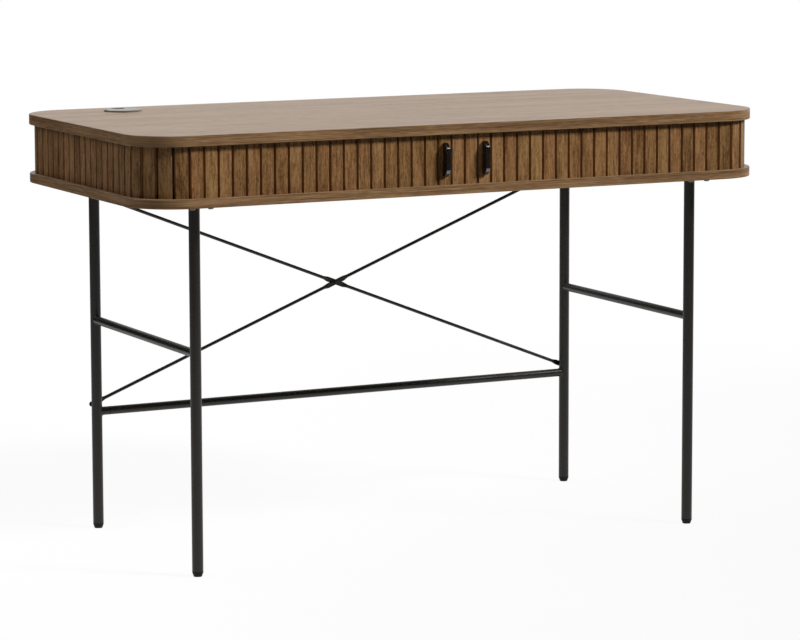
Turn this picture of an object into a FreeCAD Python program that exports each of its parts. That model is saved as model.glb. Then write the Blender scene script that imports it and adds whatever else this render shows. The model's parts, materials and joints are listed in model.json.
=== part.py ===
import FreeCAD, Part
import math
import os

# A writing desk with a flat case on a thin tube frame. The case is a top and a bottom panel with a band of
# upright slats between them. The slats are glued to canvas and run in a track round all four corners, so the
# front opens as two tambour doors. All lengths are millimetres, +Z is up, the front faces -Y, and the origin
# is on the floor under the middle of the case.

# Case
case_width = 1200.0
case_depth = 600.0
desk_height = 750.0
case_height = 120.0
corner_radius = 90.0
top_thickness = 18.0
bottom_thickness = 16.0
panel_edge_chamfer = 0.8

# Tambour slats, their canvas and the track
slat_width = 22.6
slat_gap = 2.75
slat_thickness = 6.5
slat_inset = 10.0
slat_edge_chamfer = 0.9
canvas_thickness = 0.8
canvas_margin = 3.0
track_depth = 6.0
track_clearance = 1.0
slat_foot_clearance = 0.4
slat_head_clearance = 1.4
door_meeting_x = -6.5
track_stop_length = 20.0
track_stop_clearance = 0.5

# Carcass inside the track
carcass_inset = 27.0
carcass_wall = 12.0
divider_thickness = 16.0
dowel_radius = 4.0
dowel_depth_in_panel = 9.0
dowel_depth_in_block = 15.0
dowel_inset = 26.0

# Handles
handle_length = 58.0
handle_face_length = 42.0
handle_width = 7.6
handle_depth = 15.0
handle_end_depth = 5.0
handle_end_round = 2.5
handle_shoulder_round = 9.0
handle_edge_round = 1.0
handle_screw_spacing = 32.0
handle_screw_radius = 2.0
handle_screw_grip = 8.0
handle_screw_head_radius = 3.5
handle_screw_head_height = 2.2

# Cable grommet in the top and the plain cable hole under it
grommet_inset_x = 175.0
grommet_inset_y = 80.0
grommet_hole_radius = 30.0
grommet_flange_radius = 33.5
grommet_flange_height = 3.0
grommet_recess_depth = 1.0
grommet_recess_clearance = 0.2
grommet_bore_radius = 27.0
grommet_sleeve_length = 15.0
grommet_cap_radius = 29.6
grommet_cap_thickness = 2.2
grommet_cap_skirt_length = 7.0
grommet_cap_skirt_wall = 1.6
grommet_cap_notch_width = 24.0
grommet_cap_notch_start = 10.0
grommet_edge_chamfer = 1.0
cap_clearance = 0.4
cable_hole_radius = 25.0

# Leg tubes with their plates and feet
leg_inset_x = 120.0
leg_inset_y = 74.0
leg_radius = 9.5
leg_wall = 1.5
plate_length = 78.0
plate_width = 50.0
plate_thickness = 3.0
plate_corner_radius = 7.0
plate_screw_spacing_x = 32.5
plate_screw_spacing_y = 64.0
plate_screw_radius = 2.2
plate_screw_grip = 11.0
plate_screw_head_radius = 5.0
plate_screw_head_height = 3.6
plate_screw_head_chamfer = 1.2
foot_height = 9.0
foot_lip_height = 2.0
foot_sole_radius = 7.0
foot_plug_length = 18.0
foot_plug_clearance = 0.1

# Stretchers and the rear rail
bar_radius = 7.5
bar_wall = 1.2
stretcher_z = 378.0
rail_z = 212.0
weld_fillet = 2.0
rail_weld_fillet = 3.4
stub_length = 23.5
stub_spigot_length = 26.0
seam_chamfer = 0.7
spigot_clearance = 0.1

# Crossed braces behind the rear legs
brace_radius = 3.0
brace_drop_from_case = 26.0
brace_rise_from_rail = 14.0
brace_flat_width = 9.5
brace_flat_thickness = 2.8
brace_tab_overhang = 10.3
brace_tab_length = 23.0
brace_cross_length = 34.0
brace_neck_length = 9.0
brace_screw_radius = 2.4
brace_screw_clearance = 0.2
brace_screw_grip = 9.0
brace_screw_head_radius = 4.4
brace_screw_head_height = 3.0
brace_screw_head_chamfer = 1.2
brace_nut_radius = 4.0
brace_nut_height = 2.6

# One overrun for every cut, and how near two places count as one
overrun = 1.0
same_place = 1e-6

# Places that follow
grommet_x = grommet_inset_x - case_width / 2
grommet_y = case_depth / 2 - grommet_inset_y
leg_spread_x = case_width / 2 - leg_inset_x
leg_spread_y = case_depth / 2 - leg_inset_y
top_underside = desk_height - top_thickness
case_bottom = desk_height - case_height
floor_of_case = case_bottom + bottom_thickness
plate_underside = case_bottom - plate_thickness
grommet_top = desk_height + grommet_flange_height
grommet_flange_low = desk_height - grommet_recess_depth
grommet_cap_low = grommet_top - grommet_cap_thickness
brace_high_z = case_bottom - brace_drop_from_case
brace_low_z = rail_z + brace_rise_from_rail

# The track's line is the middle of the canvas
slat_pitch = slat_width + slat_gap
canvas_inset = slat_inset + slat_thickness + canvas_thickness / 2
canvas_corner_radius = corner_radius - canvas_inset
front_run = case_width / 2 - corner_radius
side_run = case_depth - 2 * corner_radius
corner_run = math.pi / 2 * canvas_corner_radius
track_marks = [
    front_run,
    front_run + corner_run,
    front_run + corner_run + side_run,
    front_run + 2 * corner_run + side_run,
]
whole_front_slots = math.floor((front_run - abs(door_meeting_x)) / slat_pitch)
front_slat_count = whole_front_slots - 2
door_slat_count = math.ceil(track_marks[3] / slat_pitch)
door_travel = front_slat_count * slat_pitch

os.makedirs("parts", exist_ok=True)


def export(node, *solids):
    """Writes one node's file from its separate solids."""
    shape = solids[0] if len(solids) == 1 else Part.makeCompound(list(solids))
    shape.exportStep("parts/" + node + ".step")
    verdict = "valid" if shape.isValid() else "NOT VALID"
    print(node, len(shape.Solids), "solids", round(shape.Volume), "mm3", verdict)


def vec(x, y, z=0.0):
    return FreeCAD.Vector(x, y, z)


def cylinder(radius, length, start, direction):
    return Part.makeCylinder(radius, length, start, direction)


def grommet_disc(radius, low, high):
    """A disc on the grommet's axis."""
    return cylinder(radius, high - low, vec(grommet_x, grommet_y, low), vec(0, 0, 1))


def box_between(low, high):
    return Part.makeBox(high.x - low.x, high.y - low.y, high.z - low.z, low)


def rounded_outline(half_x, half_y, radius, z):
    """A closed wire: a rectangle about the origin with round corners."""
    edges = []
    inner_x = half_x - radius
    inner_y = half_y - radius
    slant = radius * math.sqrt(0.5)
    corners = [(1, -1), (1, 1), (-1, 1), (-1, -1)]
    arcs = []
    for turn, (sx, sy) in enumerate(corners):
        on_x = vec(sx * half_x, sy * inner_y, z)
        on_y = vec(sx * inner_x, sy * half_y, z)
        middle = vec(sx * (inner_x + slant), sy * (inner_y + slant), z)
        arcs.append((on_y, middle, on_x) if turn % 2 == 0 else (on_x, middle, on_y))
    for turn, (start, middle, end) in enumerate(arcs):
        edges.append(Part.Arc(start, middle, end).toShape())
        edges.append(Part.makeLine(end, arcs[(turn + 1) % len(arcs)][0]))
    return Part.Wire(edges)


def case_slab(inset, low, high):
    """A slab with the case's outline, drawn in by inset."""
    outline = rounded_outline(case_width / 2 - inset, case_depth / 2 - inset, corner_radius - inset, low)
    return Part.Face(outline).extrude(vec(0, 0, high - low))


def level_edges(shape, z):
    """The edges of a shape that lie in one level plane."""
    return [e for e in shape.Edges
            if abs(e.BoundBox.ZMin - z) < same_place and abs(e.BoundBox.ZMax - z) < same_place]


# Places on the track
def track_place(side, along, inset):
    """The point at a distance along the track from the middle of the front, drawn in by inset, with the
    outward direction there in degrees. Side is -1 for the left door and 1 for the right one."""
    radius = corner_radius - inset
    if along <= track_marks[0]:
        x, y, facing = along, -case_depth / 2 + inset, -90.0
    elif along <= track_marks[1]:
        facing = -90.0 + 90.0 * (along - track_marks[0]) / corner_run
        x = front_run + radius * math.cos(math.radians(facing))
        y = -case_depth / 2 + corner_radius + radius * math.sin(math.radians(facing))
    elif along <= track_marks[2]:
        x, y, facing = case_width / 2 - inset, -side_run / 2 + along - track_marks[1], 0.0
    elif along <= track_marks[3]:
        facing = 90.0 * (along - track_marks[2]) / corner_run
        x = front_run + radius * math.cos(math.radians(facing))
        y = case_depth / 2 - corner_radius + radius * math.sin(math.radians(facing))
    else:
        x, y, facing = front_run - (along - track_marks[3]), case_depth / 2 - inset, 90.0
    if side < 0:
        x, facing = -x, 180.0 - facing
    return vec(x, y), facing


def slot_edge(side, slot):
    """Where a slat's slot starts along the track. Slot 0 is at the meeting line of the doors."""
    return slot * slat_pitch + side * door_meeting_x


def track_edges(side, start, end, inset):
    """Lines and arcs that follow the track from start to end, drawn in by inset."""
    marks = [start] + [m for m in track_marks if start < m < end] + [end]
    edges = []
    for a, b in zip(marks, marks[1:]):
        first, facing_first = track_place(side, a, inset)
        last, facing_last = track_place(side, b, inset)
        middle, facing_middle = track_place(side, (a + b) / 2, inset)
        if abs(facing_first - facing_last) < same_place:
            edges.append(Part.makeLine(first, last))
        else:
            edges.append(Part.Arc(first, middle, last).toShape())
    return edges


def track_band(side, start, end, outer_inset, inner_inset, low, high):
    """An upright strip that follows the track."""
    outer = track_edges(side, start, end, outer_inset)
    inner = track_edges(side, start, end, inner_inset)
    outer_ends = [track_place(side, s, outer_inset)[0] for s in (start, end)]
    inner_ends = [track_place(side, s, inner_inset)[0] for s in (start, end)]
    caps = [Part.makeLine(outer_ends[0], inner_ends[0]), Part.makeLine(outer_ends[1], inner_ends[1])]
    wire = Part.Wire(Part.__sortEdges__(outer + inner + caps))
    strip = Part.Face(wire).extrude(vec(0, 0, high - low))
    strip.translate(vec(0, 0, low))
    return strip


# Panels
def panel_with_track(low, high, groove_low, groove_high):
    """A case panel with eased edges and the track's groove cut round it."""
    slab = case_slab(0.0, low, high)
    slab = slab.makeChamfer(panel_edge_chamfer, level_edges(slab, low) + level_edges(slab, high))
    outer = case_slab(slat_inset - track_clearance, groove_low, groove_high)
    inner = case_slab(slat_inset + slat_thickness + track_clearance, groove_low, groove_high)
    return slab.cut(outer.cut(inner))


def corner_signs():
    """Left front, left rear, right front and right rear, with the words for their names."""
    return [(sx, sy, across + "_" + along) for sx, across in ((-1, "left"), (1, "right"))
            for sy, along in ((-1, "front"), (1, "rear"))]


def dowel_places():
    """Each corner block's dowel axis."""
    reach = corner_radius - carcass_inset - dowel_inset
    offset = reach * math.sqrt(0.5)
    return [vec(sx * (front_run + offset), sy * (side_run / 2 + offset)) for sx, sy, words in corner_signs()]


def dowels():
    """The dowels that join the corner blocks to both panels."""
    pins = []
    for place in dowel_places():
        for level, inward in ((floor_of_case, 1), (top_underside, -1)):
            start = level - inward * dowel_depth_in_panel
            pins.append(cylinder(dowel_radius, dowel_depth_in_panel + dowel_depth_in_block,
                                 vec(place.x, place.y, start), vec(0, 0, inward)))
    return pins


def drill(shape, tools):
    for tool in tools:
        shape = shape.cut(tool)
    return shape


def leg_places():
    return [(sx, sy, words, vec(sx * leg_spread_x, sy * leg_spread_y)) for sx, sy, words in corner_signs()]


def plate_screw_places(leg):
    return [vec(leg.x + sx * plate_screw_spacing_x / 2, leg.y + sy * plate_screw_spacing_y / 2)
            for sx in (-1, 1) for sy in (-1, 1)]


def top_panel():
    panel = panel_with_track(top_underside, desk_height, top_underside - overrun, top_underside + track_depth)
    hole = grommet_disc(grommet_hole_radius, top_underside - overrun, desk_height + overrun)
    recess = grommet_disc(grommet_flange_radius + grommet_recess_clearance, grommet_flange_low,
                          desk_height + overrun)
    return drill(panel, [hole, recess] + dowels())


def bottom_panel():
    panel = panel_with_track(case_bottom, floor_of_case, floor_of_case - track_depth, floor_of_case + overrun)
    hole = grommet_disc(cable_hole_radius, case_bottom - overrun, floor_of_case + overrun)
    pilots = []
    for sx, sy, words, leg in leg_places():
        for place in plate_screw_places(leg):
            pilots.append(cylinder(plate_screw_radius, plate_screw_grip + overrun,
                                   vec(place.x, place.y, case_bottom - overrun), vec(0, 0, 1)))
    return drill(panel, [hole] + dowels() + pilots)


# Carcass
carcass_half_x = case_width / 2 - carcass_inset
carcass_half_y = case_depth / 2 - carcass_inset


def corner_block(sx, sy):
    """A quarter-round block inside a corner of the track, which holds the panels apart."""
    centre = vec(sx * front_run, sy * side_run / 2, floor_of_case)
    radius = corner_radius - carcass_inset
    slant = radius * math.sqrt(0.5)
    on_x = centre + vec(sx * radius, 0)
    on_y = centre + vec(0, sy * radius)
    middle = centre + vec(sx * slant, sy * slant)
    edges = [Part.makeLine(centre, on_x), Part.Arc(on_x, middle, on_y).toShape(), Part.makeLine(on_y, centre)]
    block = Part.Face(Part.Wire(edges)).extrude(vec(0, 0, top_underside - floor_of_case))
    return drill(block, dowels())


def inner_side(sx):
    outer = sx * carcass_half_x
    inner = sx * (carcass_half_x - carcass_wall)
    return box_between(vec(min(outer, inner), -side_run / 2, floor_of_case),
                       vec(max(outer, inner), side_run / 2, top_underside))


def inner_back():
    return box_between(vec(-front_run, carcass_half_y - carcass_wall, floor_of_case),
                       vec(front_run, carcass_half_y, top_underside))


def centre_divider():
    return box_between(vec(-divider_thickness / 2, -carcass_half_y, floor_of_case),
                       vec(divider_thickness / 2, carcass_half_y - carcass_wall, top_underside))


def track_stops():
    """Blocks behind the rear track that end the doors' travel."""
    blocks = []
    for side in (-1, 1):
        tail = slot_edge(side, door_slat_count) + door_travel + track_stop_clearance
        near = track_place(side, tail, slat_inset)[0].x
        far = near - side * track_stop_length
        blocks.append(box_between(vec(min(near, far), carcass_half_y, floor_of_case),
                                  vec(max(near, far), case_depth / 2 - slat_inset, top_underside)))
    return blocks


# Tambour
slat_low = floor_of_case - track_depth + slat_foot_clearance
slat_high = top_underside + track_depth - slat_head_clearance
canvas_low = floor_of_case + canvas_margin
canvas_high = top_underside - canvas_margin


def slat(side, slot):
    """One slat, set square to the track at the middle of its slot."""
    half = slat_width / 2
    face = -slat_thickness
    ease = slat_edge_chamfer
    points = [vec(-half, 0), vec(half, 0), vec(half, face + ease), vec(half - ease, face),
              vec(ease - half, face), vec(-half, face + ease), vec(-half, 0)]
    solid = Part.Face(Part.makePolygon(points)).extrude(vec(0, 0, slat_high - slat_low))
    centre, facing = track_place(side, slot_edge(side, slot + 0.5), slat_inset + slat_thickness)
    solid.rotate(vec(0, 0), vec(0, 0, 1), facing + 90.0)
    solid.translate(vec(centre.x, centre.y, slat_low))
    return solid


def canvas(side, first_slot, end_slot):
    """The canvas behind the slats from one slot's start to another's. At the doors' meeting line it ends
    flush with the lead slat."""
    start = slot_edge(side, first_slot) if first_slot else slot_edge(side, 0) + slat_gap / 2
    outer = slat_inset + slat_thickness
    inner = outer + canvas_thickness
    return track_band(side, start, slot_edge(side, end_slot), outer, inner, canvas_low, canvas_high)


handle_slot = 1
handle_z = (floor_of_case + top_underside) / 2
slat_face_y = -case_depth / 2 + slat_inset
canvas_back_y = slat_face_y + slat_thickness + canvas_thickness


def handle_x(side):
    return track_place(side, slot_edge(side, handle_slot + 0.5), slat_inset)[0].x


def handle_screw_shank(side, radius, start_y, end_y, sz):
    place = vec(handle_x(side), start_y, handle_z + sz * handle_screw_spacing / 2)
    return cylinder(radius, end_y - start_y, place, vec(0, 1, 0))


def handle_screws(side):
    """Two screws from behind the canvas through the slat into the handle."""
    screws = []
    for sz in (-1, 1):
        tip = slat_face_y - handle_screw_grip
        shank = handle_screw_shank(side, handle_screw_radius, tip, canvas_back_y, sz)
        head = handle_screw_shank(side, handle_screw_head_radius, canvas_back_y,
                                  canvas_back_y + handle_screw_head_height, sz)
        screws.append(shank.fuse(head).removeSplitter())
    return screws


def handle(side):
    """A slim upright pull: square at the slat, sloped shoulders, a flat grip face and eased edges."""
    half = handle_length / 2
    grip = handle_face_length / 2
    tip = slat_face_y - handle_depth
    end = slat_face_y - handle_end_depth
    left = handle_x(side) - handle_width / 2
    right = handle_x(side) + handle_width / 2
    outline = [(slat_face_y, -half), (end, -half), (tip, -grip), (tip, grip), (end, half),
               (slat_face_y, half)]
    points = [vec(left, y, handle_z + z) for y, z in outline]
    body = Part.Face(Part.makePolygon(points + points[:1])).extrude(vec(handle_width, 0, 0))
    for radius, reach, height in ((handle_end_round, end, half), (handle_shoulder_round, tip, grip)):
        corners = [e for e in body.Edges if e.BoundBox.XLength > handle_width / 2
                   and abs(e.CenterOfMass.y - reach) < same_place
                   and abs(abs(e.CenterOfMass.z - handle_z) - height) < same_place]
        body = body.makeFillet(radius, corners)
    rims = [e for e in body.Edges
            if e.BoundBox.XLength < same_place and e.BoundBox.YMin < slat_face_y - same_place]
    body = body.makeFillet(handle_edge_round, rims)
    return drill(body, [handle_screw_shank(side, handle_screw_radius, slat_face_y - handle_screw_grip,
                                           slat_face_y + overrun, sz) for sz in (-1, 1)])


def export_tambour(side, word):
    """One door's sheet: its two leading slats with the handle, the run that slides away along the front when
    it opens, and the run that goes on round the corners."""
    clear = [handle_screw_shank(side, handle_screw_radius, slat_face_y - overrun, canvas_back_y + overrun, sz)
             for sz in (-1, 1)]
    first_corner = 2 + front_slat_count
    side_start = next(k for k in range(first_corner, door_slat_count)
                      if slot_edge(side, k + 0.5) > track_marks[1])
    rear_start = next(k for k in range(side_start, door_slat_count)
                      if slot_edge(side, k + 0.5) > track_marks[2])
    export(word + "_lead_slat", slat(side, 0))
    export(word + "_handle_slat", drill(slat(side, handle_slot), clear))
    export(word + "_door_canvas", drill(canvas(side, 0, 2), clear))
    export(word + "_handle", handle(side))
    export(word + "_handle_screws", *handle_screws(side))
    export(word + "_front_slats", *[slat(side, k) for k in range(2, first_corner)])
    export(word + "_front_canvas", canvas(side, 2, first_corner))
    export(word + "_front_corner_slats", *[slat(side, k) for k in range(first_corner, side_start)])
    export(word + "_side_slats", *[slat(side, k) for k in range(side_start, rear_start)])
    export(word + "_rear_corner_slats", *[slat(side, k) for k in range(rear_start, door_slat_count)])
    export(word + "_side_canvas", canvas(side, first_corner, door_slat_count))


# Cable grommet
def grommet_liner():
    """A flanged sleeve let into the top, with a ledge that the cap sits on."""
    sleeve_low = desk_height - grommet_sleeve_length
    flange = grommet_disc(grommet_flange_radius, grommet_flange_low, grommet_top)
    flange = flange.makeChamfer(grommet_edge_chamfer, level_edges(flange, grommet_top))
    sleeve = grommet_disc(grommet_hole_radius, sleeve_low, grommet_flange_low)
    bore = grommet_disc(grommet_bore_radius, sleeve_low - overrun, grommet_top + overrun)
    seat = grommet_disc(grommet_cap_radius + cap_clearance, grommet_cap_low, grommet_top + overrun)
    return drill(flange.fuse(sleeve).removeSplitter(), [bore, seat])


def grommet_cap():
    """The lift-out cap: a disc with a short skirt and a notch for cables at the rear."""
    skirt_low = grommet_cap_low - grommet_cap_skirt_length
    skirt_radius = grommet_bore_radius - cap_clearance
    disc = grommet_disc(grommet_cap_radius, grommet_cap_low, grommet_top)
    skirt = grommet_disc(skirt_radius, skirt_low, grommet_cap_low)
    hollow = grommet_disc(skirt_radius - grommet_cap_skirt_wall, skirt_low - overrun, grommet_cap_low)
    half = grommet_cap_notch_width / 2
    round_y = grommet_y + grommet_cap_notch_start + half
    rim_y = grommet_y + grommet_cap_radius
    notch = box_between(vec(grommet_x - half, round_y, skirt_low - overrun),
                        vec(grommet_x + half, rim_y + overrun, grommet_top + overrun))
    notch_end = cylinder(half, grommet_top - skirt_low + 2 * overrun,
                         vec(grommet_x, round_y, skirt_low - overrun), vec(0, 0, 1))
    return drill(disc.fuse(skirt.cut(hollow)).removeSplitter(), [notch, notch_end])


# Frame
def brace_screw_places():
    """Where the rear legs' centre lines pass the brace ends."""
    return [vec(sx * leg_spread_x, leg_spread_y, z) for sx in (-1, 1) for z in (brace_low_z, brace_high_z)]


def leg(place):
    """A leg tube from its foot to its plate."""
    length = plate_underside - foot_height
    tube = cylinder(leg_radius, length, vec(place.x, place.y, foot_height), vec(0, 0, 1))
    bore = cylinder(leg_radius - leg_wall, length + 2 * overrun, vec(place.x, place.y, foot_height - overrun),
                    vec(0, 0, 1))
    holes = [cylinder(brace_screw_radius, leg_radius + overrun, screw, vec(0, 1, 0))
             for screw in brace_screw_places() if screw.x == place.x and screw.y == place.y]
    return drill(tube.cut(bore), holes)


def foot(place):
    """A plastic foot: a plug in the tube, a lip under its end and a taper to the sole."""
    plug_radius = leg_radius - leg_wall - foot_plug_clearance
    profile = [(0, 0), (foot_sole_radius, 0), (leg_radius, foot_height - foot_lip_height),
               (leg_radius, foot_height), (plug_radius, foot_height),
               (plug_radius, foot_height + foot_plug_length), (0, foot_height + foot_plug_length), (0, 0)]
    outline = Part.makePolygon([vec(r, 0, z) for r, z in profile])
    solid = Part.Face(outline).revolve(vec(0, 0), vec(0, 0, 1), 360.0)
    solid.translate(place)
    return solid


def leg_plate(place):
    outline = rounded_outline(plate_width / 2, plate_length / 2, plate_corner_radius, 0.0)
    plate = Part.Face(outline).extrude(vec(0, 0, plate_thickness))
    plate.translate(vec(place.x, place.y, plate_underside))
    return drill(plate, [cylinder(plate_screw_radius, plate_thickness + 2 * overrun,
                                  vec(p.x, p.y, plate_underside - overrun), vec(0, 0, 1))
                         for p in plate_screw_places(place)])


def plate_screws():
    screws = []
    for sx, sy, words, leg_place in leg_places():
        for p in plate_screw_places(leg_place):
            shank = cylinder(plate_screw_radius, plate_thickness + plate_screw_grip,
                             vec(p.x, p.y, plate_underside), vec(0, 0, 1))
            low = plate_underside - plate_screw_head_height
            head = cylinder(plate_screw_head_radius, plate_screw_head_height, vec(p.x, p.y, low),
                            vec(0, 0, 1))
            head = head.makeChamfer(plate_screw_head_chamfer, level_edges(head, low))
            screws.append(head.fuse(shank).removeSplitter())
    return screws


def leg_stub(place, z):
    """The solid outside of a leg near a bar's height, to cope the bar against."""
    reach = leg_radius + bar_radius
    return cylinder(leg_radius, 2 * reach, vec(place.x, place.y, z - reach), vec(0, 0, 1))


def axis_distance(point, on_axis, direction):
    return (point - on_axis).cross(direction).Length / direction.Length


def bar_seam(shape, start, end, place):
    """The edges where a bar meets a leg: every point of them lies on both outsides."""
    seam = []
    for edge in shape.Edges:
        points = edge.discretize(5)
        if all(abs(axis_distance(p, start, end - start) - bar_radius) < same_place
               and abs(axis_distance(p, place, vec(0, 0, 1)) - leg_radius) < same_place for p in points):
            seam.append(edge)
    return seam


def welded_bar(start, end, places, fillet):
    """A solid bar between two points, flared by a weld to each leg that it meets and coped to fit it."""
    bar = cylinder(bar_radius, end.sub(start).Length, start, end - start)
    for place in places:
        stub = leg_stub(place, start.z)
        joined = bar.fuse(stub)
        bar = joined.makeFillet(fillet, bar_seam(joined, start, end, place)).cut(stub)
    return bar


def bar_bore(start, end, places):
    """What is cut from a bar to make it a tube between the legs."""
    bore = cylinder(bar_radius - bar_wall, end.sub(start).Length, start, end - start)
    return drill(bore, [leg_stub(place, start.z) for place in places])


def side_stretcher(sx):
    front = vec(sx * leg_spread_x, -leg_spread_y, stretcher_z)
    rear = vec(sx * leg_spread_x, leg_spread_y, stretcher_z)
    return welded_bar(front, rear, [front, rear], weld_fillet).cut(bar_bore(front, rear, [front, rear]))


rail_left = vec(-leg_spread_x, leg_spread_y, rail_z)
rail_right = vec(leg_spread_x, leg_spread_y, rail_z)
rail_seam = rail_left + vec(stub_length, 0)


def seam_rim(bar):
    """The outer edge of a bar's square end at the rail's seam."""
    return [e for e in bar.Edges
            if e.BoundBox.XLength < same_place and abs(e.BoundBox.XMin - rail_seam.x) < same_place]


def rail_stub():
    """The short stub welded to the left rear leg, with the spigot that the rail slides on."""
    stub = welded_bar(rail_left, rail_seam, [rail_left], rail_weld_fillet)
    stub = stub.makeChamfer(seam_chamfer, seam_rim(stub))
    spigot = cylinder(bar_radius - bar_wall - spigot_clearance, stub_spigot_length, rail_seam, vec(1, 0, 0))
    return stub.fuse(spigot).removeSplitter()


def rear_rail():
    rail = welded_bar(rail_seam, rail_right, [rail_right], rail_weld_fillet)
    rail = rail.makeChamfer(seam_chamfer, seam_rim(rail))
    return rail.cut(bar_bore(rail_seam, rail_right, [rail_right]))


# Braces, each drawn along X and then turned to its slope
brace_y = leg_spread_y + leg_radius + brace_flat_thickness / 2
brace_rise = brace_high_z - brace_low_z
brace_slope = math.degrees(math.atan2(brace_rise, 2 * leg_spread_x))
brace_half_length = math.hypot(brace_rise, 2 * leg_spread_x) / 2
brace_centre = vec(0, brace_y, (brace_low_z + brace_high_z) / 2)


def brace_section(x, half_height, half_depth, shift):
    """A closed section of four edges across the brace. Half_height equals half_depth on the round rod."""
    if half_height == half_depth:
        flat = half_height * math.sqrt(0.5)
        bulge = half_height
        rise = flat
    else:
        flat = half_height - half_depth
        bulge = half_depth
        rise = half_depth

    def at(y, z):
        return vec(x, y + shift, z)

    corners = [at(-rise, -flat), at(-rise, flat), at(rise, flat), at(rise, -flat)]
    if half_height == half_depth:
        front = Part.Arc(corners[0], at(-bulge, 0), corners[1]).toShape()
        back = Part.Arc(corners[2], at(bulge, 0), corners[3]).toShape()
    else:
        front = Part.makeLine(corners[0], corners[1])
        back = Part.makeLine(corners[2], corners[3])
    upper = Part.Arc(corners[1], at(0, half_height), corners[2]).toShape()
    lower = Part.Arc(corners[3], at(0, -half_height), corners[0]).toShape()
    return Part.Wire([front, upper, back, lower])


def brace(rising, shift):
    """A rod with flattened end tabs and a flattened middle. Rising is 1 where it climbs to the right."""
    wide = brace_flat_width / 2
    thin = brace_flat_thickness / 2
    cross = brace_cross_length / 2
    tab = brace_half_length - brace_tab_length + brace_tab_overhang
    sections = [
        brace_section(-brace_half_length, wide, thin, 0.0),
        brace_section(-tab, wide, thin, 0.0),
        brace_section(brace_neck_length - tab, brace_radius, brace_radius, 0.0),
        brace_section(-cross - brace_neck_length, brace_radius, brace_radius, 0.0),
        brace_section(-cross, wide, thin, shift),
        brace_section(cross, wide, thin, shift),
        brace_section(cross + brace_neck_length, brace_radius, brace_radius, 0.0),
        brace_section(tab - brace_neck_length, brace_radius, brace_radius, 0.0),
        brace_section(tab, wide, thin, 0.0),
        brace_section(brace_half_length, wide, thin, 0.0),
    ]
    rod = Part.makeLoft(sections, True, True)
    nose_x = brace_half_length + brace_tab_overhang - wide
    for end in (-1, 1):
        ends = sorted((end * brace_half_length, end * nose_x))
        plate = box_between(vec(ends[0], -thin, -wide), vec(ends[1], thin, wide))
        nose = cylinder(wide, brace_flat_thickness, vec(end * nose_x, -thin, 0), vec(0, 1, 0))
        rod = rod.fuse(plate).fuse(nose)
    hole_radius = brace_screw_radius + brace_screw_clearance
    reach = brace_flat_thickness * 2
    for x in (-brace_half_length, 0, brace_half_length):
        rod = rod.cut(cylinder(hole_radius, 2 * reach, vec(x, -reach, 0), vec(0, 1, 0)))
    rod.rotate(vec(0, 0), vec(0, 1, 0), -rising * brace_slope)
    rod.translate(brace_centre)
    return rod


def brace_end_screws():
    """The screws that hold the brace tabs on the rear legs."""
    screws = []
    face = brace_y + brace_flat_thickness / 2
    for place in brace_screw_places():
        tip = vec(place.x, face - brace_screw_grip, place.z)
        shank = cylinder(brace_screw_radius, brace_screw_grip, tip, vec(0, 1, 0))
        head = cylinder(brace_screw_head_radius, brace_screw_head_height, vec(place.x, face, place.z),
                        vec(0, 1, 0))
        rim = [e for e in head.Edges if e.BoundBox.YLength < same_place
               and abs(e.BoundBox.YMin - face - brace_screw_head_height) < same_place]
        head = head.makeChamfer(brace_screw_head_chamfer, rim)
        screws.append(head.fuse(shank).removeSplitter())
    return screws


def brace_centre_screw():
    """The screw and nut that pin the two braces where they cross."""
    back = brace_y + brace_flat_thickness
    tip = brace_y - brace_flat_thickness - brace_nut_height
    shank = cylinder(brace_screw_radius, back - tip, vec(0, tip, brace_centre.z), vec(0, 1, 0))
    head = cylinder(brace_screw_head_radius, brace_screw_head_height, vec(0, back, brace_centre.z),
                    vec(0, 1, 0))
    return shank.fuse(head).removeSplitter()


def brace_centre_nut():
    front = brace_y - brace_flat_thickness - brace_nut_height
    corners = [vec(brace_nut_radius * math.cos(math.radians(60.0 * k)), front,
                   brace_centre.z + brace_nut_radius * math.sin(math.radians(60.0 * k))) for k in range(7)]
    nut = Part.Face(Part.makePolygon(corners)).extrude(vec(0, brace_nut_height, 0))
    return nut.cut(cylinder(brace_screw_radius, brace_nut_height + 2 * overrun,
                            vec(0, front - overrun, brace_centre.z), vec(0, 1, 0)))


# Build everything
export("top_panel", top_panel())
export("bottom_panel", bottom_panel())
export("inner_back", inner_back())
export("centre_divider", centre_divider())
export("track_stops", *track_stops())
export("dowels", *dowels())
for sx, word in ((-1, "left"), (1, "right")):
    export(word + "_inner_side", inner_side(sx))
    export_tambour(sx, word)
    export(word + "_stretcher", side_stretcher(sx))
for sx, sy, words in corner_signs():
    export(words + "_corner_block", corner_block(sx, sy))
export("grommet_liner", grommet_liner())
export("grommet_cap", grommet_cap())
for sx, sy, words, place in leg_places():
    export(words + "_leg", leg(place))
    export(words + "_foot", foot(place))
    export(words + "_leg_plate", leg_plate(place))
export("plate_screws", *plate_screws())
export("rail_stub", rail_stub())
export("rear_rail", rear_rail())
export("rising_brace", brace(1, -brace_flat_thickness / 2))
export("falling_brace", brace(-1, brace_flat_thickness / 2))
export("brace_end_screws", *brace_end_screws())
export("brace_centre_screw", brace_centre_screw())
export("brace_centre_nut", brace_centre_nut())
print("door travel", round(door_travel, 3), "mm,", door_slat_count, "slats in a door")
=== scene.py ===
# %% [markdown]
# # A tambour desk
# This lesson dresses the solids of a writing desk. Its case has a top and a bottom panel in smoked oak
# veneer and a band of upright slats between them, which slides open as two doors. It stands on thin black
# tube legs.
# The solids come from the maker's model and stay as they are: we give them finishes, copy the runs of slats
# beside the doors as pieces of their own, and set up a plain studio. Lengths are in metres, +Z is up and the
# front faces -Y.

# %% Load the desk
import json
import math

import bmesh
import bpy
from mathutils import Matrix, Vector


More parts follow.
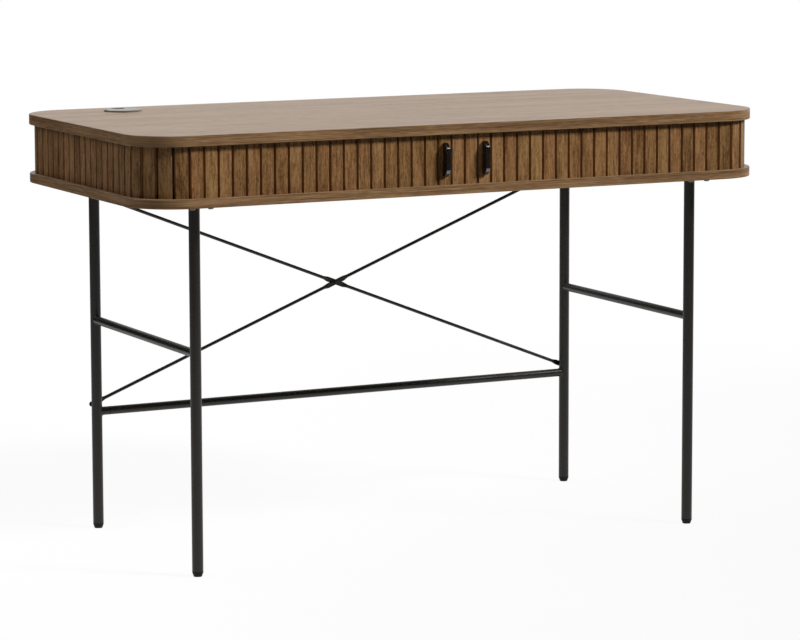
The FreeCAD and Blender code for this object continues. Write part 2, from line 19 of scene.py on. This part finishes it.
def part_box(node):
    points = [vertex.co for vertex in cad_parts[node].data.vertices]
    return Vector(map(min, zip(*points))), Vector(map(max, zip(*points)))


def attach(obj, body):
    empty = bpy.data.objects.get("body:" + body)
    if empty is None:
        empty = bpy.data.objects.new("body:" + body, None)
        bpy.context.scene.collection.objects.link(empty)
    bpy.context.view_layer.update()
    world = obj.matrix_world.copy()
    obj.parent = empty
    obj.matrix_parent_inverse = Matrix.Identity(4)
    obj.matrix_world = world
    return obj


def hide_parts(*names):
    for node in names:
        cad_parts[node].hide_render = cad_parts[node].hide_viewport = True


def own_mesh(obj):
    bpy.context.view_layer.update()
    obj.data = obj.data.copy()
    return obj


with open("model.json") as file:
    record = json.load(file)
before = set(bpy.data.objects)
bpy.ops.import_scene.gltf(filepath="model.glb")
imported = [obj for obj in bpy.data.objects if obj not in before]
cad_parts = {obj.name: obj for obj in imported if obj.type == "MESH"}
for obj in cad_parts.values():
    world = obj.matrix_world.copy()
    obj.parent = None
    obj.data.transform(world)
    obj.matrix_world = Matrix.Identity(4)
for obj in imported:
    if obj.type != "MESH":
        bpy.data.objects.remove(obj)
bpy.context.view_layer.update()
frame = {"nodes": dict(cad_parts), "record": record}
nodes = frame["nodes"]
print("the desk has", len(nodes), "nodes")

# %% [markdown]
# Nothing here is measured twice. The case's size, the corner's centre, the pitch of the slats and the
# line where the doors meet are all read from the boxes of the pieces that have them.

# %% Read the sizes
millimetre = 0.001
case_low, case_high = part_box("bottom_panel")[0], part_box("top_panel")[1]
block_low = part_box("right_rear_corner_block")[0]
corner_x, corner_y = block_low.x, block_low.y
lead_left, lead_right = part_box("left_lead_slat"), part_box("right_lead_slat")
handle_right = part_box("right_handle_slat")
meeting_x = (lead_left[1].x + lead_right[0].x) / 2
slat_pitch = handle_right[0].x - lead_right[0].x
canvas_low, canvas_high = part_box("right_door_canvas")
canvas_turn = -corner_y - (canvas_low.y + canvas_high.y) / 2
print("pitch", round(slat_pitch / millimetre, 2), "mm, doors meet at", round(meeting_x / millimetre, 2), "mm")

# %% [markdown]
# ## Writing materials as arithmetic
# A material is a graph of nodes, and graphs are slow to write by hand. Here a socket is wrapped in a
# small class, so that `1 - mask` or `tone * 0.5` adds the Math node by itself.

# %% The socket wrapper
class Wire:
    """One output of a material's graph. Python's arithmetic on it adds Math nodes."""

    def __init__(self, finish, made, socket):
        self.finish = finish
        self.made = made
        self.socket = socket

    def out(self, name):
        """Another output of the same node."""
        return Wire(self.finish, self.made, pick(self.made.outputs, name))

    def maths(self, operation, *values):
        """A Math node. The values go into its sockets in their order."""
        return self.finish.node("ShaderNodeMath", {"operation": operation}, dict(enumerate(values)))

    def __add__(self, other):
        return self.maths("ADD", self, other)

    def __sub__(self, other):
        return self.maths("SUBTRACT", self, other)

    def __rsub__(self, other):
        return self.maths("SUBTRACT", other, self)

    def __mul__(self, other):
        return self.maths("MULTIPLY", self, other)

    def __truediv__(self, other):
        return self.maths("DIVIDE", self, other)

    def __rtruediv__(self, other):
        return self.maths("DIVIDE", other, self)

    def __pow__(self, other):
        return self.maths("POWER", self, other)

    def __neg__(self):
        return self.maths("MULTIPLY", self, -1.0)

    def __abs__(self):
        return self.maths("ABSOLUTE", self)

    __radd__ = __add__
    __rmul__ = __mul__

    def above(self, other):
        return self.maths("GREATER_THAN", self, other)

    def sign(self):
        return self.maths("SIGN", self)

    def floor(self):
        return self.maths("FLOOR", self)

    def fraction(self):
        return self.maths("FRACT", self)

    def between(self, low, high):
        """Held between two limits."""
        return self.maths("MINIMUM", self.maths("MAXIMUM", self, low), high)

    def ramp(self, start, end):
        """0 at start, 1 at end and a smooth rise between them. Either of them may be the lower one."""
        return self.finish.node("ShaderNodeMapRange", {"interpolation_type": "SMOOTHSTEP"},
                                {"Value": self, "From Min": start, "From Max": end})


def pick(sockets, key):
    """A socket by its place, its identifier or its name."""
    if isinstance(key, int):
        return sockets[key]
    matching = [socket for socket in sockets if socket.identifier == key]
    return matching[0] if matching else sockets[key]


# %% [markdown]
# The graph gets a wrapper too. Every node that isn't arithmetic comes from one method, `node`, which
# takes the node's type, its settings and what goes into its sockets. The methods after it are the few
# nodes that the finishes of this desk share.

# %% The material wrapper
class Finish:
    """A material that is being written."""

    def __init__(self, name):
        self.material = bpy.data.materials.new(name)
        self.material.use_nodes = True
        self.tree = self.material.node_tree
        self.tree.nodes.clear()

    def node(self, kind, settings=None, values=None, out=0):
        """Adds a node. Its settings are set first, then each socket gets a value or a link."""
        made = self.tree.nodes.new(kind)
        for name, setting in (settings or {}).items():
            if name == "stops":
                while len(made.color_ramp.elements) < len(setting):
                    made.color_ramp.elements.new(1.0)
                for element, (place, colour) in zip(made.color_ramp.elements, setting):
                    element.position = place
                    element.color = (*colour, 1.0)
            else:
                setattr(made, name, setting)
        for name, value in (values or {}).items():
            socket = pick(made.inputs, name)
            if isinstance(value, Wire):
                self.tree.links.new(value.socket, socket)
            else:
                socket.default_value = value
        return Wire(self, made, pick(made.outputs, out)) if made.outputs else made

    def place(self):
        """The three object coordinates."""
        place = self.node("ShaderNodeTexCoord", out="Object")
        split = self.node("ShaderNodeSeparateXYZ", values={0: place})
        return split.out("X"), split.out("Y"), split.out("Z")

    def point(self, x, y, z):
        return self.node("ShaderNodeCombineXYZ", values={"X": x, "Y": y, "Z": z})

    def noise(self, point, scale=1.0, detail=2.0, distortion=0.0):
        values = {"Vector": point, "Scale": scale, "Detail": detail, "Distortion": distortion}
        return self.node("ShaderNodeTexNoise", values=values)

    def blend(self, factor, first, second, mode="MIX"):
        """Mixes two colours, each of them a wire or three numbers."""
        values = {"Factor_Float": factor}
        for name, colour in (("A_Color", first), ("B_Color", second)):
            values[name] = colour if isinstance(colour, Wire) else (*colour, 1.0)
        return self.node("ShaderNodeMix", {"data_type": "RGBA", "blend_type": mode}, values, "Result_Color")

    def bump(self, height, distance, strength=1.0):
        values = {"Height": height, "Distance": distance, "Strength": strength}
        return self.node("ShaderNodeBump", values=values)

    def surface(self, **sockets):
        """Ends the material with a Principled surface. Socket names are written with underscores."""
        values = {name.replace("_", " "): value for name, value in sockets.items()}
        shader = self.node("ShaderNodeBsdfPrincipled", values=values)
        self.node("ShaderNodeOutputMaterial", values={"Surface": shader})
        print(self.material.name, "has", len(self.tree.nodes), "nodes in its graph")
        return self.material


# %% [markdown]
# ## Smoked oak
# The desk is veneered in oak that was stained a mid brown. Up close such a surface has three scales:
# broad bands from the growth rings, streaks a few millimetres wide with hair lines and flecks between
# them, and short dark pores. A picture of veneer could show them, but it would repeat on a top this wide
# and would have to be laid on every slat by hand. Noise does neither. All of the marks are long along the
# grain and narrow across it, so each is a noise whose coordinates are squeezed along the grain.
# Colours are written as they look on a screen and turned to the linear values that a shader needs. Each
# kind of oak here is a ramp of tones, from dark growth to pale growth.

# %% Colours
def screen(red, green, blue):
    """A colour as it looks on a screen, 0 to 255, turned to linear values."""
    def linear(value):
        share = value / 255
        return share / 12.92 if share <= 0.04045 else ((share + 0.055) / 1.055) ** 2.4
    return linear(red), linear(green), linear(blue)


slat_tones = [(0.0, screen(76, 53, 31)), (0.5, screen(114, 84, 53)), (1.0, screen(140, 109, 75))]
panel_tones = [(0.0, screen(86, 63, 41)), (0.5, screen(118, 90, 62)), (1.0, screen(146, 116, 83))]
oak_pore = screen(44, 28, 16)
print("the middle tone of a slat, linear:", [round(part, 3) for part in slat_tones[1][1]])

# %% [markdown]
# A noise of scale 1 has about one patch to the metre. The patches below are counted to the metre, first
# across the grain and then along it: bands a few centimetres wide, down to hair lines of about a
# millimetre. The weights say how much each of them adds to the tone.

# %% Oak grain
drift_patches = (2.0, 1.5)
band_patches, band_weight = (52.0, 5.0), 0.25
streak_patches, streak_weight = (340.0, 30.0), 0.3
hair_patches, hair_weight = (800.0, 50.0), 0.25
fleck_patches, fleck_weight = (420.0, 170.0), 0.2
pore_patches = (900.0, 110.0)
drift_reach = 0.04
seed_step = 3.7
tone_range = (0.37, 0.63)
pore_range, pore_streaks = (0.57, 0.68), (0.64, 0.42)
pore_strength = 0.6
pore_depth, pore_relief = 0.05 * millimetre, 0.6
pore_dullness, tone_gloss = 0.2, 0.05


def oak_grain(finish, across, second, along, seed, bow):
    """The tone from 0, dark, to 1, light, and the pores of oak. The first two coordinates run across
    the grain. Seed shifts the pattern, so that each slat is cut from another place, bow bends the bands,
    and a slow drift keeps long lines from running dead straight."""
    def grain(start, patches, detail, distortion=0.0):
        wide, long = patches
        place = finish.point(start * wide, second * wide, along * long)
        return finish.noise(place, detail=detail, distortion=distortion)

    shifted = across + grain(across, drift_patches, 1.0) * drift_reach + seed * seed_step
    bands = grain(shifted, band_patches, 2.0, bow)
    streaks = grain(shifted, streak_patches, 3.0)
    hairs = grain(shifted, hair_patches, 2.0)
    flecks = grain(shifted, fleck_patches, 1.0)
    tone = bands * band_weight + streaks * streak_weight + hairs * hair_weight + flecks * fleck_weight
    dashes = grain(shifted, pore_patches, 1.0)
    pores = dashes.ramp(*pore_range) * streaks.ramp(*pore_streaks)
    return tone.ramp(*tone_range), pores


def oak_colour(finish, tones, tone, pores):
    """The colour of a tone, with the stain that gathers in the pores."""
    wood = finish.node("ShaderNodeValToRGB", {"stops": tones}, {"Fac": tone})
    return finish.blend(pores * pore_strength, wood, oak_pore)


def oak_roughness(base, tone, pores):
    """Pores are duller than the wood around them, and pale growth is a little glossier."""
    return base + pores * pore_dullness - tone * tone_gloss


print("the finest lines of the grain are", round(1 / hair_patches[0] / millimetre, 2), "mm apart")

# %% [markdown]
# The panels are boards with veneer on their faces and a strip of the same veneer round the edge. On the
# faces the grain runs along X. On the edge it follows the edge, also round the corners. The face's normal
# tells which is which: it points up or down on a face and is level on the edge. The faces are also a
# little paler than the edge. Only what faces up gets the clear lacquer. A faint grey tint is painted over
# the faces as painted sheen, a pale reflection put into their colour. A low index of refraction keeps the
# lacquer clear from above and lets it mirror the studio at a flat angle, as in the photograph.

# %% Panel veneer
face_limit, up_limit = 0.8, 0.7
face_lift, edge_drop = 0.16, 0.06
# Painted sheen: a pale grey tint that stands in for the lacquer's reflection on the faces.
painted_sheen, painted_sheen_share = screen(138, 150, 150), 0.08
lacquer_weight, lacquer_roughness, lacquer_index = 0.75, 0.4, 1.25
edge_squeeze = 1.6
board_stretch = 0.24


def panel_finish():
    finish = Finish("smoked oak panel")
    x, y, z = finish.place()
    normal = finish.node("ShaderNodeTexCoord", out="Normal")
    level = finish.node("ShaderNodeSeparateXYZ", values={0: normal}).out("Z")
    face = abs(level).above(face_limit)
    lacquered = level.above(up_limit)
    long_way = x + y * (1 - face)
    across = y * face + z * (1 - face) * edge_squeeze
    tone, pores = oak_grain(finish, across, 0.0, long_way * board_stretch, seed=0.0, bow=0.3)
    shown_tone = (tone + face * face_lift - edge_drop).between(0.0, 1.0)
    # The faces are mixed with the grey tint of painted sheen.
    colour = finish.blend(face * painted_sheen_share, oak_colour(finish, panel_tones, shown_tone, pores), painted_sheen)
    relief = finish.bump(1 - pores, pore_depth, pore_relief)
    return finish.surface(Base_Color=colour, Roughness=oak_roughness(0.5, tone, pores),
                          Specular_IOR_Level=0.15, Coat_Weight=lacquered * lacquer_weight,
                          Coat_Roughness=lacquer_roughness, Coat_IOR=lacquer_index, Normal=relief)


panel_oak = panel_finish()

# %% [markdown]
# Each slat of the tambour is a strip of its own, so its tone differs a little from its neighbour's, some
# redder and some greener. The solids of a node are one mesh, so the material has to find out by itself
# which slat it is on. It unrolls the case: the distance from the line where the doors meet, along the
# front, round the corner, along the side and round the rear corner, divided by the pitch, gives the
# slat's number. A white noise then turns the number into a chance value.

# %% Number the slats
def slat_number(x, y):
    """Counts the slats outwards from the line where the doors meet. The side is the number's sign."""
    side = (x - meeting_x).sign()
    front = side * (x.between(-corner_x, corner_x) - meeting_x)
    ahead = abs(x) - corner_x
    quarter = math.pi / 2
    front_turn = ahead.maths("ARCTAN2", ahead, -y - corner_y).between(0.0, quarter)
    along_side = (y + corner_y).between(0.0, 2 * corner_y)
    rear_turn = ahead.maths("ARCTAN2", y - corner_y, ahead).between(0.0, quarter)
    way = front + front_turn * canvas_turn + along_side + rear_turn * canvas_turn
    return ((way / slat_pitch).floor() + 0.5) * side


print("the straight front holds", round(2 * corner_x / slat_pitch, 1), "slats")

# %% [markdown]
# The veneered board is sawn into slats and their long edges are bevelled. A bevel cuts through the veneer
# and drinks more stain, so it dries darker. Its colour is also painted darker as painted shade, which draws
# a crisp dark line beside every gap where shade falls. The sawn sides show the paler board under the
# veneer. The material tells them apart by comparing the surface's normal with the way out of the case at
# that point: they agree on the front of a slat, stand square on its sides and are half-way between on the
# bevel.

# %% Slat veneer
front_end, bevel_start, bevel_end = 0.95, 0.8, 0.6
side_start, side_full = 0.45, 0.3


def bevel_and_side(finish, x, y):
    """Two masks: one is 1 on the bevels of a slat, the other is 1 on its sawn sides."""
    outward = finish.node("ShaderNodeTexCoord", out="Normal")
    normal = finish.node("ShaderNodeSeparateXYZ", values={0: outward})
    out_x = x - x.between(-corner_x, corner_x)
    out_y = y - y.between(-corner_y, corner_y)
    reach = (out_x * out_x + out_y * out_y) ** 0.5
    facing = abs(normal.out("X") * out_x + normal.out("Y") * out_y) / reach
    bevel = facing.ramp(front_end, bevel_start) * facing.ramp(side_start, bevel_end)
    return bevel, facing.ramp(side_start, side_full)


# Painted shade: the bevel's colour is stain and also a darkening beside each gap, where shade falls.
bevel_stain_and_shade, bevel_stain_and_shade_share = screen(48, 29, 15), 0.6
sawn_board, sawn_share = screen(168, 124, 80), 0.6
redder, greener = screen(255, 244, 239), screen(251, 251, 238)
grain_share, own_share, tone_drop = 0.85, 0.3, 0.08


def slat_finish():
    finish = Finish("smoked oak slat")
    x, y, z = finish.place()
    chance = finish.node("ShaderNodeTexWhiteNoise", {"noise_dimensions": "1D"},
                         {"W": slat_number(x, y)}, "Color")
    parts = finish.node("ShaderNodeSeparateXYZ", values={0: chance})
    shade, hue, cut = parts.out("X"), parts.out("Y"), parts.out("Z")
    tone, pores = oak_grain(finish, x, y, z + cut, seed=cut, bow=1.2)
    shown_tone = (tone * grain_share + shade * own_share - tone_drop).between(0.0, 1.0)
    colour = oak_colour(finish, slat_tones, shown_tone, pores)
    colour = finish.blend(1.0, colour, finish.blend(hue, redder, greener), "MULTIPLY")
    bevel, side = bevel_and_side(finish, x, y)
    # The bevels are darkened, partly as stain and partly as painted shade along the gaps.
    colour = finish.blend(bevel * bevel_stain_and_shade_share, colour, bevel_stain_and_shade)
    colour = finish.blend(side * sawn_share, colour, sawn_board)
    relief = finish.bump(1 - pores, pore_depth, pore_relief)
    return finish.surface(Base_Color=colour, Roughness=oak_roughness(0.6, tone, pores),
                          Specular_IOR_Level=0.12, Normal=relief)


slat_oak = slat_finish()

# %% [markdown]
# ## The black frame
# The tubes, plates and braces have a black powder coat. Powder melts into a skin with a fine orange peel,
# which blurs its highlights. A fine noise as bump and a little change in roughness give that. Roughness
# alone would blur them too, but evenly, like frosted glass. The pulls have a blacker and smoother enamel
# with a higher index of refraction, which throws a clear light on their sloped shoulders. The moulded
# plastics are made the same way, with a finer and deeper grain.

# %% Coats and plastics
wear_patches, wear_range = 9.0, (0.35, 0.75)
wear_gloss = 0.12
rubbed_gain = 1.25
coat_relief = 0.5


def coat_finish(name, colour, roughness, grain, depth, gloss, mirror=1.5):
    """A sprayed or moulded finish: an even colour with fine grain in its height, grain patches to the
    metre, and a slow change in its gloss from handling. Mirror is the index of refraction."""
    finish = Finish(name)
    x, y, z = finish.place()
    peel = finish.noise(finish.point(x, y, z), grain)
    wear = finish.noise(finish.point(x, y, z), wear_patches, detail=3.0)
    rubbed = [rubbed_gain * part for part in colour]
    shade = finish.blend(wear.ramp(*wear_range), colour, rubbed)
    return finish.surface(Base_Color=shade, Roughness=roughness + (wear - 0.5) * wear_gloss, IOR=mirror,
                          Specular_IOR_Level=gloss, Normal=finish.bump(peel, depth, coat_relief))


def zinc_finish():
    finish = Finish("zinc plated steel")
    x, y, z = finish.place()
    spangle = finish.noise(finish.point(x, y, z), scale=600.0)
    colour = finish.blend(spangle, screen(96, 90, 78), screen(146, 138, 120))
    return finish.surface(Base_Color=colour, Metallic=1.0, Roughness=0.38 + spangle * 0.2)


powder_coat = coat_finish("black powder coat", screen(22, 19, 14), roughness=0.38, grain=500.0,
                          depth=0.001 * millimetre, gloss=0.42)
pull_coat = coat_finish("black pull coat", screen(9, 9, 8), roughness=0.19, grain=900.0,
                        depth=0.001 * millimetre, gloss=0.7, mirror=1.9)
black_plastic = coat_finish("black moulded plastic", screen(18, 18, 18), roughness=0.6, grain=2200.0,
                            depth=0.02 * millimetre, gloss=0.2)
grommet_plastic = coat_finish("brown grey moulded plastic", screen(90, 82, 72), roughness=0.22, grain=2200.0,
                              depth=0.005 * millimetre, gloss=0.8)
zinc = zinc_finish()

# %% [markdown]
# The canvas behind the slats is a plain weave: two sets of threads at right angles. Each set is a row of
# rounded ridges, and a checker pattern says which set is on top. The threads run upright and around the
# case. The sum of x and y changes along every wall of the case, so it stands for the way around. The boards
# inside the case are a paler cut of the same oak, and the dowels are plain beech.

# %% Canvas and inner board
def canvas_finish():
    finish = Finish("black canvas")
    x, y, z = finish.place()
    thread, thread_height = 0.9 * millimetre, 0.1 * millimetre
    around = (x + y) / thread
    upright = z / thread
    over = ((around.floor() + upright.floor()) * 0.5).fraction().above(0.25)
    upright_thread = 1 - abs(around.fraction() * 2 - 1) ** 2
    level_thread = 1 - abs(upright.fraction() * 2 - 1) ** 2
    height = upright_thread * over + level_thread * (1 - over)
    # Painted shade: the colour follows the weave's height, so the hollows between the threads are darker and
    # the thread crowns lighter.
    colour = finish.blend(height, screen(22, 20, 19), screen(52, 48, 45))
    return finish.surface(Base_Color=colour, Roughness=0.85, Normal=finish.bump(height, thread_height))


def inner_board_finish():
    finish = Finish("inner board")
    x, y, z = finish.place()
    tone, pores = oak_grain(finish, z, y * 0.3, (x + y) * 0.5, seed=5.0, bow=0.3)
    colour = oak_colour(finish, panel_tones, tone * 0.5 + 0.5, pores)
    return finish.surface(Base_Color=colour, Roughness=0.55 - tone * 0.06,
                          Normal=finish.bump(1 - pores, pore_depth, 0.4))


def beech_finish():
    finish = Finish("beech dowel")
    x, y, z = finish.place()
    wide, long = 900.0, 60.0
    fleck = finish.noise(finish.point(x * wide, y * wide, z * long))
    colour = finish.blend(fleck, screen(196, 160, 118), screen(224, 194, 152))
    return finish.surface(Base_Color=colour, Roughness=0.6)


black_canvas = canvas_finish()
inner_board = inner_board_finish()
beech = beech_finish()

# %% [markdown]
# The record says which material slot each solid has, so the finishes go into a table by slot. The pulls
# share the frame's slot, but theirs is another coat, so they are dressed once more by name.

# %% Give every solid its finish
slot_finishes = {
    "veneer_panel": panel_oak,
    "veneer_slat": slat_oak,
    "inner_board": inner_board,
    "beech": beech,
    "canvas": black_canvas,
    "black_metal": powder_coat,
    "zinc_steel": zinc,
    "black_plastic": black_plastic,
    "grommet_plastic": grommet_plastic,
}


def dress(piece, material):
    """Gives a piece one material."""
    piece.data.materials.clear()
    piece.data.materials.append(material)


for part in frame["record"]["subparts"]:
    dress(nodes[part["node"]], slot_finishes[part["material_slot"]])
for side in ("left", "right"):
    dress(nodes[side + "_handle"], pull_coat)
print("finishes:", ", ".join(sorted(slot_finishes)))

# %% [markdown]
# ## The run beside each door
# When a door opens, its sheet moves on round the corner and the slats beside the pull leave the front.
# They can't follow one rigid body, so this run is a piece of its own: a copy of the solids whose loose
# triangles are welded together. It hangs from the desk's body in place of the solids that it copies,
# which are hidden.

# %% Copy a run of solids
weld_distance = 0.001 * millimetre


def new_piece(name, shape):
    """An object with the shape of a bmesh, which is used up."""
    mesh = bpy.data.meshes.new(name)
    shape.to_mesh(mesh)
    shape.free()
    piece = bpy.data.objects.new(name, mesh)
    bpy.context.scene.collection.objects.link(piece)
    return piece


def welded_copy(node, name):
    """A new object with a node's shape, its doubled points merged."""
    shape = bmesh.new()
    shape.from_mesh(nodes[node].data)
    bmesh.ops.remove_doubles(shape, verts=shape.verts, dist=weld_distance)
    return new_piece(name, shape)


def folding_run(side, kind, material):
    """A run beside a door, of slats or of canvas. Outer is the end of its box at the corner of the case:
    0 is the low end and 1 the high end. It is not used."""
    run = welded_copy(f"{side}_front_{kind}", f"{side}_folding_{kind}")
    dress(run, slot_finishes[material])
    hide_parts(f"{side}_front_{kind}")
    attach(run, "desk")
    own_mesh(run)


for side, outer in (("left", 0), ("right", 1)):
    folding_run(side, "slats", "veneer_slat")
    folding_run(side, "canvas", "canvas")

# %% [markdown]
# ## The studio
# A large pale floor and three soft lights: the key, high on the right in front, a weak one on the left
# that fills the shadows, and a weaker one behind. The photograph's background is white, so rays that come
# straight from the camera, and those that a glossy surface sends out, find a white world. The floor fades
# to the same white away from the desk, and near the feet it keeps their shadow.

# %% World
def white_for_looks(finish):
    """1 for rays that look at something: from the camera, a gloss or a clear material."""
    path = finish.node("ShaderNodeLightPath")
    looks = path.out("Is Camera Ray") + path.out("Is Glossy Ray") + path.out("Is Transmission Ray")
    return looks.between(0.0, 1.0)


class Sky(Finish):
    """The world's graph, written with the same tools."""

    def __init__(self, name):
        self.world = bpy.data.worlds.new(name)
        self.world.use_nodes = True
        self.tree = self.world.node_tree
        self.tree.nodes.clear()


ambient = 0.38
sky = Sky("white studio")
looks = white_for_looks(sky)
light_of_sky = sky.node("ShaderNodeBackground", values={"Strength": looks * (1 - ambient) + ambient})
sky.node("ShaderNodeOutputWorld", values={"Surface": light_of_sky})
bpy.context.scene.world = sky.world
print("the world lights matt surfaces with", ambient)

# %% [markdown]
# The floor is one large disc. For the camera it is nearly all white, with a small share of a matt grey
# that catches the shadows. That share fades out with the distance from the desk, so the floor has no
# edge.

# %% Floor
matt_share = 0.07
fade_start, fade_end = 1.2, 2.6
floor_radius = 40.0
floor_grey, pure_white = (0.85, 0.85, 0.85, 1.0), (1.0, 1.0, 1.0, 1.0)


def floor_finish():
    finish = Finish("pale floor")
    x, y, z = finish.place()
    distance = (x * x + y * y) ** 0.5
    away = distance.ramp(fade_start, fade_end)
    matt = finish.node("ShaderNodeBsdfDiffuse", values={"Color": floor_grey})
    white = finish.node("ShaderNodeEmission", values={"Color": pure_white})
    share = white_for_looks(finish) * (1 - matt_share + away * matt_share)
    shown = finish.node("ShaderNodeMixShader", values={0: share, 1: matt, 2: white})
    finish.node("ShaderNodeOutputMaterial", values={"Surface": shown})
    return finish.material


shape = bmesh.new()
bmesh.ops.create_circle(shape, cap_ends=True, segments=96, radius=floor_radius)
floor = new_piece("floor", shape)
dress(floor, floor_finish())
print("the floor reaches", floor_radius, "m")

# %% [markdown]
# Black parts and dark veneer would look grey if they mirrored white on every side. A photographer stands
# dark cloths round the camera's side of the table and hangs one overhead, and so does this studio. The
# camera doesn't see them. Only the space behind the desk stays white, which gives the top its pale sheen.

# %% Dark cloths
cloth_black = (0.03, 0.03, 0.03, 1.0)
cloth_foot = 0.01


def cloth_finish():
    finish = Finish("dark cloth")
    matt = finish.node("ShaderNodeBsdfDiffuse", values={"Color": cloth_black})
    finish.node("ShaderNodeOutputMaterial", values={"Surface": matt})
    return finish.material


dark_matt = cloth_finish()


def hang_cloth(name, shape):
    """Makes a cloth of a shape. The camera doesn't see it, but the desk's coats mirror it."""
    cloth = new_piece(name, shape)
    cloth.visible_camera = False
    dress(cloth, dark_matt)
    print(name, "has", len(cloth.data.polygons), "faces")


def cloth_around(radius, height, first, last, steps):
    """An upright cloth on an arc round the desk. Angles are from the front, towards the right."""
    shape = bmesh.new()
    rows = []
    for step in range(steps + 1):
        turn = math.radians(first + (last - first) * step / steps)
        foot = Vector((math.sin(turn) * radius, -math.cos(turn) * radius, cloth_foot))
        rows.append([shape.verts.new(foot), shape.verts.new(foot + Vector((0.0, 0.0, height)))])
    for near, far in zip(rows, rows[1:]):
        shape.faces.new((near[0], far[0], far[1], near[1]))
    hang_cloth("cloth around", shape)


def cloth_overhead(radius, x, y, height):
    shape = bmesh.new()
    bmesh.ops.create_circle(shape, cap_ends=True, segments=48, radius=radius)
    bmesh.ops.translate(shape, verts=shape.verts, vec=(x, y, height))
    hang_cloth("cloth overhead", shape)


cloth_around(radius=3.0, height=2.2, first=-172.0, last=85.0, steps=40)
cloth_overhead(radius=0.9, x=0.9, y=-0.4, height=2.6)

# %% [markdown]
# Seen from behind, a lacquered top turns the key light into white glare that hides the oak. A
# photographer puts a polarising sheet over the lamp for this. Here the key is two lamps in one place: a
# strong one that gloss doesn't mirror, and a weak one that it does, because the pulls and the tubes need
# their glints. The key is far away and small for its distance, which gives the slats' grooves and the
# pulls their fairly crisp shadows.

# %% Lamps
def soft_light(name, azimuth, elevation, distance, size, power, glare=True):
    """A square softbox that faces the case. Azimuth is from the front, towards the right. Without glare,
    gloss doesn't mirror it."""
    turn, rise = math.radians(azimuth), math.radians(elevation)
    way = Vector((math.sin(turn) * math.cos(rise), -math.cos(turn) * math.cos(rise), math.sin(rise)))
    target = Vector((0.0, 0.0, (case_low.z + case_high.z) / 2))
    lamp = bpy.data.lights.new(name, "AREA")
    lamp.size = size
    lamp.energy = power
    holder = bpy.data.objects.new(name, lamp)
    turned = way.to_track_quat("Z", "Y").to_matrix().to_4x4()
    holder.matrix_world = Matrix.Translation(target + way * distance) @ turned
    holder.visible_glossy = glare
    bpy.context.scene.collection.objects.link(holder)
    print(name, power, "W from", [round(part, 2) for part in target + way * distance])


soft_light("key light", azimuth=46.0, elevation=35.0, distance=10.0, size=2.0, power=1100.0, glare=False)
soft_light("glint light", azimuth=46.0, elevation=35.0, distance=10.0, size=2.0, power=450.0)
soft_light("fill light", azimuth=-108.0, elevation=36.0, distance=5.0, size=1.6, power=66.0)
soft_light("rear light", azimuth=-155.0, elevation=50.0, distance=5.0, size=1.6, power=35.0)

# %% [markdown]
# ## The camera
# The photograph was taken from the front left with a long lens, from just above the desk top. The lens is
# given in pixels of an 800 pixel wide picture, as it was fitted, and turned to the millimetres that
# Blender wants. The angles are in radians. They make three directions, which are the columns of the
# camera's matrix.

# %% Camera
picture_width = 800
focal_pixels = 3369.7
shift_pixels = -60.0
camera_yaw, camera_pitch, camera_roll = 0.4650, 0.1260, -0.0026
camera_place = Vector((-2.6657, -5.3438, 1.2387))
forward = Vector((math.sin(camera_yaw) * math.cos(camera_pitch),
                  math.cos(camera_yaw) * math.cos(camera_pitch), -math.sin(camera_pitch)))
level_right = Vector((math.cos(camera_yaw), -math.sin(camera_yaw), 0.0))
level_up = level_right.cross(forward)
right = math.cos(camera_roll) * level_right + math.sin(camera_roll) * level_up
up = right.cross(forward)
lens = bpy.data.cameras.new("camera")
lens.lens = focal_pixels / picture_width * lens.sensor_width
lens.shift_y = shift_pixels / picture_width
lens.clip_end = 2 * floor_radius
camera = bpy.data.objects.new("camera", lens)
turned = Matrix((right, up, -forward)).transposed().to_4x4()
camera.matrix_world = Matrix.Translation(camera_place) @ turned
bpy.context.scene.collection.objects.link(camera)
bpy.context.scene.camera = camera
bpy.context.scene.view_settings.view_transform = "Standard"
print("lens", round(lens.lens, 1), "mm")
